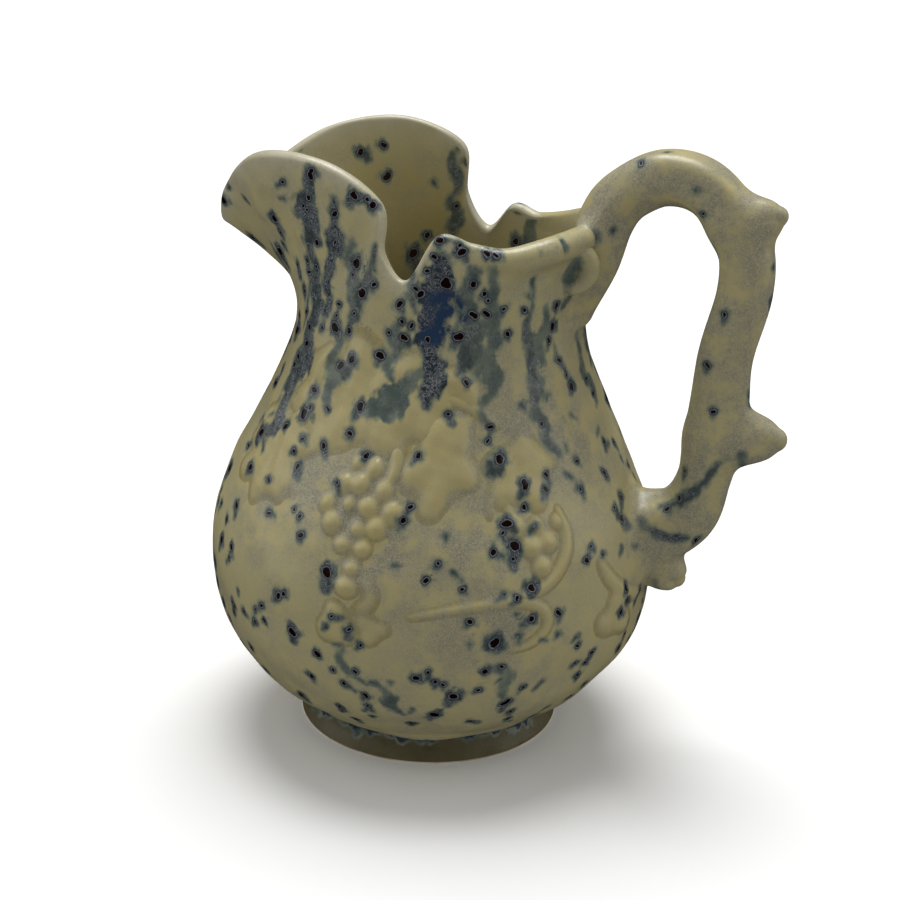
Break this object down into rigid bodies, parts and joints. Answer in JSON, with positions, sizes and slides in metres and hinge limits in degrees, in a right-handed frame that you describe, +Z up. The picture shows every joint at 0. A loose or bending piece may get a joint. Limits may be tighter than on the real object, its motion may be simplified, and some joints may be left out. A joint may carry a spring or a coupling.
{
  "type": "ceramic pitcher",
  "caption": "Round-bellied ceramic pitcher with a wide two-lobed spout, notched rim, branch-shaped loop handle, grape-vine relief and a speckled cream and blue glaze.",
  "frame": {"origin": "centre of the foot ring, in the plane that the foot rests on", "axes": "+Z up; +X towards the handle; -X towards the spout; Y across the pitcher"},
  "size_m": [0.1779, 0.1422, 0.187],
  "materials": {
    "glaze_body": "satin cream glaze with blue crystal spots and running streaks",
    "glaze_relief": "satin cream glaze, warmer on the raised relief, with blue crystal spots",
    "glaze_foot": "thin darker glaze with blue pooled at the joint, bare clay under the foot"
  },
  "bodies": {
    "root": {"body": "glaze_body", "foot_ring": "glaze_foot", "handle": "glaze_body", "handle_knob": "glaze_body", "handle_spur": "glaze_body", "handle_heel": "glaze_body", "rim_twig_near": "glaze_relief", "rim_twig_far": "glaze_relief", "root_bud_near": "glaze_relief", "root_bud_far": "glaze_relief", "grapes_large_near": "glaze_relief", "grapes_large_far": "glaze_relief", "grapes_small_near": "glaze_relief", "grapes_small_far": "glaze_relief", "leaf_crown_near": "glaze_relief", "leaf_crown_far": "glaze_relief", "leaf_middle_near": "glaze_relief", "leaf_middle_far": "glaze_relief", "leaf_right_near": "glaze_relief", "leaf_right_far": "glaze_relief", "leaf_low_near": "glaze_relief", "leaf_low_far": "glaze_relief", "leaf_side_near": "glaze_relief", "leaf_side_far": "glaze_relief", "leaf_base_near": "glaze_relief", "leaf_base_far": "glaze_relief", "stem_near": "glaze_relief", "stem_far": "glaze_relief", "vine_arc_near": "glaze_relief", "vine_arc_far": "glaze_relief", "tendril_near": "glaze_relief", "tendril_far": "glaze_relief"}
  },
  "joints": []
}
